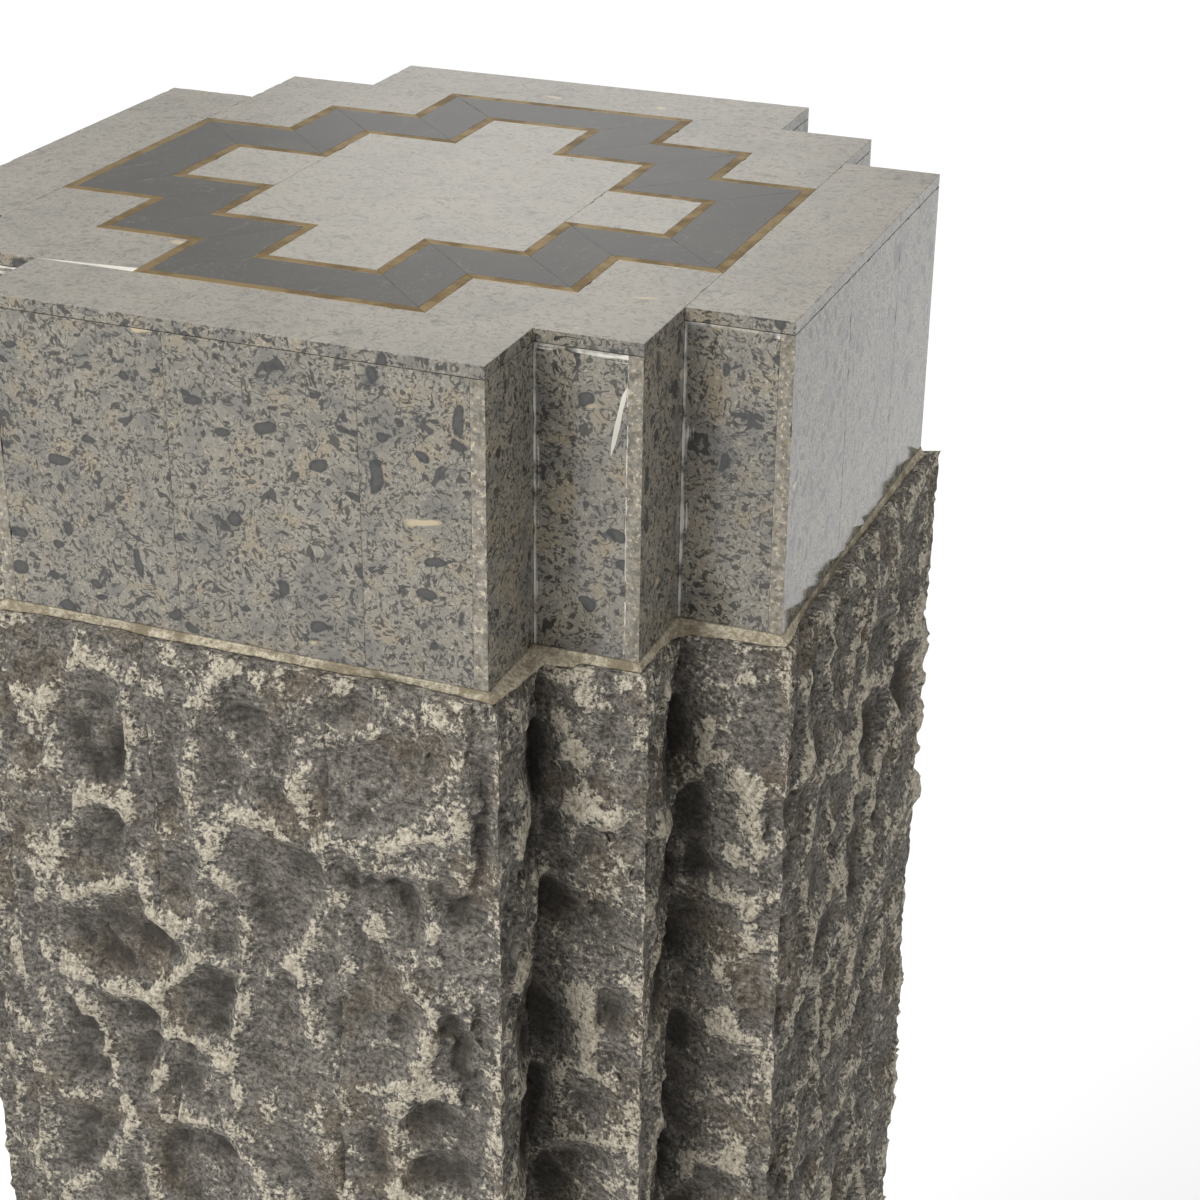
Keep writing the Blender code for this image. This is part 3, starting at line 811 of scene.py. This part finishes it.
half, middle, short = CAP_HALF, CAP_HALF - NOTCH_STEP, CAP_HALF - 2 * NOTCH_STEP
out_middle, out_short = OUT - NOTCH_STEP, OUT - 2 * NOTCH_STEP
inner_middle, inner_short = INNER - NOTCH_STEP, INNER - 2 * NOTCH_STEP
straight = [(OUT, -out_short), (middle, -short), (half, -short), (half, short), (middle, short),
            (OUT, out_short)]
for quarter, side in enumerate(SIDES):
    elbow = [(OUT, out_short), (middle, short), (middle, middle), (short, middle), (out_short, OUT),
             (out_short, out_middle), (out_middle, out_middle), (out_middle, out_short)]
    top_tile(f"border_{side}", [turned(p, quarter) for p in straight], f"top_border_{side}", BORDER_FINISHES,
             301 + quarter)
    if quarter == 2:
        # This tile was cut a little short, and the joint was made up with filler
        wedge = [turned(p, quarter) for p in ((short, middle), elbow[4], (out_short, OUT - WEDGE_WIDTH))]
        elbow[4] = (out_short, OUT - WEDGE_WIDTH)
    top_tile(f"border_elbow_{quarter + 1}", [turned(p, quarter) for p in elbow],
             f"top_border_corner_{quarter + 1}", BORDER_FINISHES, 311 + quarter)
arm = [(inner_middle, -inner_short), (INNER, -inner_short), (INNER, inner_short), (inner_middle, inner_short)]
top_tile("field_arm_right", arm, "field_right", FIELD_FINISHES, 321)
top_tile("field_arm_left", [turned(p, 2) for p in arm], "field_left", FIELD_FINISHES, 322)
field = [p for p in stepped(INNER) if abs(p[0]) < INNER - NOTCH_STEP / 2]
top_tile("field_centre", field, "field_middle", FIELD_FINISHES, 323)


# Left-over filler: cream cement wiped into the one wide joint of the top, and smears of it that dried on the
# front notch beside its joints and were never cleaned off.
WIPED_FILLER = joint_filler("wiped filler", "#9d998e", "#d2cec4")
SMEAR_THICKNESS = 0.00012


def smear(name, spots):
    """A thin ribbon on the first notch face that looks forward, through spots of x, z and width."""
    face = -middle
    verts = []
    for i, (x, z, width) in enumerate(spots):
        (x0, z0, _), (x1, z1, _) = spots[max(i - 1, 0)], spots[min(i + 1, len(spots) - 1)]
        length = math.hypot(x1 - x0, z1 - z0)
        dx, dz = (z1 - z0) / length * width / 2, (x0 - x1) / length * width / 2
        verts += [(x - dx, face, z - dz), (x, face - SMEAR_THICKNESS, z), (x + dx, face, z + dz)]
    faces = [(0, 1, 2), tuple(len(verts) - 3 + k for k in (2, 1, 0))]
    for i in range(0, len(verts) - 3, 3):
        faces += [(i + 3, i + 4, i + 1, i), (i + 4, i + 5, i + 2, i + 1), (i + 5, i + 3, i, i + 2)]
    add_piece(name, verts, faces, [WIPED_FILLER])


plain_block("filled_wedge", wedge, TILE_BOTTOM, TOP - JOINT, WIPED_FILLER, "top_border_corner_3")
smear("smear_swept", [(0.1083, 0.8780, 0.0002), (0.1090, 0.8815, 0.0012), (0.1101, 0.8870, 0.0017),
                      (0.1112, 0.8925, 0.0013), (0.1122, 0.8968, 0.0015), (0.1131, 0.8998, 0.0003)])
for run, (low_share, high_share) in enumerate(((0.02, 0.20), (0.27, 0.55), (0.58, 0.78), (0.84, 0.97))):
    spots = []
    for step in range(9):
        share = low_share + (high_share - low_share) * step / 8
        z = block_low.z + (block_high.z - block_low.z) * share
        x = middle - SIDE_TILE - 0.0003 * chance(step, run, 7)
        spots.append((x, z, 0.0001 + 0.0004 * chance(step, run, 8)))
    smear(f"smear_joint_{run + 1}", spots)


# Dark band: twenty pieces of polished dark limestone, mitred at every corner of the stepped border. They are
# laid between the brass strips and ground level with the light tiles.
def dark_limestone(name):
    """Dark grey limestone, polished: nearly even, with fine pale specks and a few faint veins."""
    made, tree, shader = new_material(name)
    place = own_place(tree)
    clouds = add_node(tree, "TexNoise", {"Vector": place, "Scale": 1000 / 22, "Detail": 4.0}).outputs["Fac"]
    fine = {"Vector": place, "Scale": 1000 / 1.5, "Detail": 4.0, "Roughness": 0.7}
    specks = add_node(tree, "TexNoise", fine).outputs["Fac"]
    ground = {0: clouds, 6: linear("#2b2a26"), 7: linear("#3f3c35")}
    colour = add_node(tree, "Mix", ground, data_type="RGBA").outputs[2]
    fade = {"Value": specks, "From Min": 0.56, "From Max": 0.74, "To Max": 0.5}
    pale = add_node(tree, "MapRange", fade, interpolation_type="SMOOTHSTEP").outputs[0]
    colour = add_node(tree, "Mix", {0: pale, 6: colour, 7: linear("#77746c")}, data_type="RGBA").outputs[2]
    flowing = {"Vector": place, "Scale": 1000 / 38, "Detail": 3.0, "Distortion": 1.2}
    flow = add_node(tree, "TexNoise", flowing).outputs["Fac"]
    apart = add_node(tree, "Math", {0: flow, 1: 0.5}, operation="SUBTRACT").outputs[0]
    apart = add_node(tree, "Math", {0: apart}, operation="ABSOLUTE").outputs[0]
    fade = {"Value": apart, "From Min": 0.006, "From Max": 0.001, "To Max": 0.14}
    vein = add_node(tree, "MapRange", fade).outputs[0]
    colour = add_node(tree, "Mix", {0: vein, 6: colour, 7: linear("#8a8579")}, data_type="RGBA").outputs[2]
    tree.links.new(colour, shader.inputs["Base Color"])
    gloss = add_node(tree, "MapRange", {"Value": specks, "To Min": 0.12, "To Max": 0.26}).outputs[0]
    tree.links.new(gloss, shader.inputs["Roughness"])
    shader.inputs["IOR"].default_value = 1.5
    return made


DARK_LIMESTONE = dark_limestone("polished dark limestone")
BAND_JOINT = 0.00003
INLAY_WEAR = 0.00006
BAND_NICK = 0.0002
band_out = stepped(OUT - BRASS_WIDTH)
band_in = stepped(INNER + BRASS_WIDTH)
for i in range(len(band_out)):
    piece = [band_out[i - 1], band_out[i], band_in[i], band_in[i - 1]]
    quarter, part = divmod(i, 5)
    node = f"dark_band_{SIDES[quarter]}" if part == 0 else f"dark_band_corner_{quarter + 1}"
    top_tile(f"band_{quarter + 1}_{part}", piece, node, (DARK_LIMESTONE, DARK_LIMESTONE),
             331 + i, INLAY_WEAR, BAND_NICK, BAND_JOINT)


# Brass strips: flat brass set on edge between the light and the dark stone, cut to length for each side of
# the steps and ground flush.
def aged_brass(name):
    """Brass dulled by handling: gold where it is rubbed, brown where it has tarnished."""
    made, tree, shader = new_material(name)
    place = own_place(tree)
    cloudy = {"Vector": place, "Scale": 1000 / 14, "Detail": 5.0, "Roughness": 0.65}
    tarnish = add_node(tree, "TexNoise", cloudy).outputs["Fac"]
    fade = {"Value": tarnish, "From Min": 0.38, "From Max": 0.62}
    rubbed = add_node(tree, "MapRange", fade, interpolation_type="SMOOTHSTEP").outputs[0]
    colour = add_node(tree, "Mix", {0: rubbed, 6: linear("#77633f"), 7: linear("#9f8450")}, data_type="RGBA")
    tree.links.new(colour.outputs[2], shader.inputs["Base Color"])
    shader.inputs["Metallic"].default_value = 1.0
    gloss = add_node(tree, "MapRange", {"Value": rubbed, "To Min": 0.48, "To Max": 0.30}).outputs[0]
    tree.links.new(gloss, shader.inputs["Roughness"])
    return made


AGED_BRASS = aged_brass("aged brass")
edges = {"brass_strip_outer": (OUT, OUT - BRASS_WIDTH), "brass_strip_inner": (INNER + BRASS_WIDTH, INNER)}
for seed, (node, (outside, inside)) in enumerate(edges.items()):
    outer_line, inner_line = stepped(outside), stepped(inside)
    for i in range(len(outer_line)):
        piece = [outer_line[i - 1], outer_line[i], inner_line[i], inner_line[i - 1]]
        top_tile(f"{node}_{i + 1}", piece, node, (AGED_BRASS, AGED_BRASS), 361 + 20 * seed + i,
                 INLAY_WEAR, 0.0, BAND_JOINT)


# Studio: a wide pale floor that glows a little, soft light from the front left and above, and a dim right
# side. The sky is even, with more light from above and behind.
FLOOR_SIZE = 400.0
FLOOR_GLOW = 0.30
KEY_PLACE = Vector((-2.0, -5.3, 5.0))
KEY_AIM = Vector((0, 0, 0.8))
KEY_SIZE = 3.0
KEY_POWER = 440.0
# Radiance of the sky: even, more towards the left and back, and more overhead
SKY_EVEN = 0.145
SKY_TILT = (-0.06, 0.22, 0.0)
SKY_OVERHEAD = 1.7
SKY_LEAST = 0.03
# A soft box low behind the pedestal, mirrored in the middle of the polished top, with the cosine of its reach
BOX_TOWARDS = (-0.363, 0.898, 0.250)
BOX_EDGE = 0.988
BOX_GLOW = 0.4

floor_mesh = bpy.data.meshes.new("studio_floor")
reach = FLOOR_SIZE / 2
floor_mesh.from_pydata([(-reach, -reach, 0), (reach, -reach, 0), (reach, reach, 0), (-reach, reach, 0)], [],
                       [(0, 1, 2, 3)])
studio_floor = bpy.data.objects.new("studio_floor", floor_mesh)
bpy.context.scene.collection.objects.link(studio_floor)
floor_paper, _, floor_shader = new_material("pale floor")
floor_shader.inputs["Base Color"].default_value = linear("#cccccc")
floor_shader.inputs["Roughness"].default_value = 0.8
floor_shader.inputs["Emission Color"].default_value = (1.0, 1.0, 1.0, 1.0)
floor_shader.inputs["Emission Strength"].default_value = FLOOR_GLOW
floor_mesh.materials.append(floor_paper)

key = bpy.data.lights.new("key_light", "AREA")
key.size = KEY_SIZE
key.energy = KEY_POWER
key_light = bpy.data.objects.new("key_light", key)
key_light.location = KEY_PLACE
key_light.rotation_euler = (KEY_AIM - KEY_PLACE).to_track_quat("-Z", "Y").to_euler()
bpy.context.scene.collection.objects.link(key_light)

world = bpy.data.worlds.new("studio")
world.use_nodes = True
bpy.context.scene.world = world
sky = world.node_tree
background = sky.nodes["Background"]
direction = add_node(sky, "TexCoord").outputs["Generated"]
tilt = add_node(sky, "VectorMath", {0: direction, 1: SKY_TILT}, operation="DOT_PRODUCT").outputs["Value"]
upwards = add_node(sky, "SeparateXYZ", {0: direction}).outputs["Z"]
overhead = add_node(sky, "Math", {0: upwards, 1: upwards}, operation="MULTIPLY").outputs[0]
overhead = add_node(sky, "Math", {0: overhead, 1: SKY_OVERHEAD, 2: tilt}, operation="MULTIPLY_ADD").outputs[0]
glow = add_node(sky, "Math", {0: overhead, 1: SKY_EVEN}, operation="ADD").outputs[0]
glow = add_node(sky, "Math", {0: glow, 1: SKY_LEAST}, operation="MAXIMUM").outputs[0]
box = add_node(sky, "VectorMath", {0: direction, 1: BOX_TOWARDS}, operation="DOT_PRODUCT").outputs["Value"]
fade = {"Value": box, "From Min": BOX_EDGE, "From Max": 1.0, "To Max": BOX_GLOW}
box = add_node(sky, "MapRange", fade, interpolation_type="SMOOTHSTEP").outputs[0]
glow = add_node(sky, "Math", {0: glow, 1: box}, operation="ADD").outputs[0]
sky.links.new(glow, background.inputs["Strength"])
background.inputs["Color"].default_value = (1.0, 1.0, 1.0, 1.0)
bpy.context.scene.view_settings.view_transform = "Standard"


# Camera: stands where the photograph was taken from. Its place and angles were fitted to the corners of the
# cap and the inlay, with the place in half widths of the cap from the middle of its top.
EYE = (2.27548, -4.85427, 1.57252)
YAW = math.radians(-21.227)
PITCH = math.radians(25.828)
ROLL = math.radians(0.548)
FOCAL_PIXELS = 2467.5
IMAGE_PIXELS = 1200
SENSOR_MM = 36.0

forward = Vector((math.sin(YAW) * math.cos(PITCH), math.cos(YAW) * math.cos(PITCH), -math.sin(PITCH)))
level = forward.cross(Vector((0, 0, 1))).normalized()
upright = level.cross(forward)
right = level * math.cos(ROLL) + upright * math.sin(ROLL)
above = upright * math.cos(ROLL) - level * math.sin(ROLL)
lens = bpy.data.cameras.new("camera")
lens.sensor_width = SENSOR_MM
lens.lens = FOCAL_PIXELS / IMAGE_PIXELS * SENSOR_MM
camera = bpy.data.objects.new("camera", lens)
camera.matrix_world = Matrix.Translation(Vector((0, 0, TOP)) + Vector(EYE) * CAP_HALF) @ Matrix(
    (right, above, -forward)).transposed().to_4x4()
bpy.context.scene.collection.objects.link(camera)
bpy.context.scene.camera = camera
